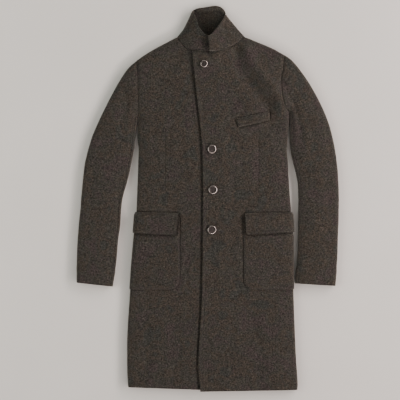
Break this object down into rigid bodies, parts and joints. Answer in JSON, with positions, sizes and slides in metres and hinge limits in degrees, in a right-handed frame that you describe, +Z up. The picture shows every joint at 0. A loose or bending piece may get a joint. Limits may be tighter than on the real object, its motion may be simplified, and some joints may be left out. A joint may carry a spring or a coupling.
{
  "type": "overcoat laid flat",
  "caption": "Knee-length single-breasted wool overcoat laid flat on its back, buttoned, with a turned-up collar, flapped patch pockets and a slanted breast welt.",
  "frame": {"origin": "middle of the coat's base, on the surface that it lies on", "axes": "+X to the wearer's left, +Y from the hem to the collar, +Z up, away from the surface"},
  "size_m": [0.775, 1.1386, 0.0482],
  "materials": {
    "wool": "boiled wool melange, matt, slightly hairy",
    "button": "polished dark brown dish with a pale pearly rim"
  },
  "bodies": {
    "root": {"back": "wool", "front_left": "wool", "front_right": "wool", "sleeve_left_top": "wool", "sleeve_left_under": "wool", "sleeve_right_top": "wool", "sleeve_right_under": "wool", "collar": "wool", "pocket_left": "wool", "pocket_right": "wool", "flap_left": "wool", "flap_right": "wool", "chest_welt": "wool", "button_1": "button", "button_2": "button", "button_3": "button", "button_4": "button"}
  },
  "joints": []
}
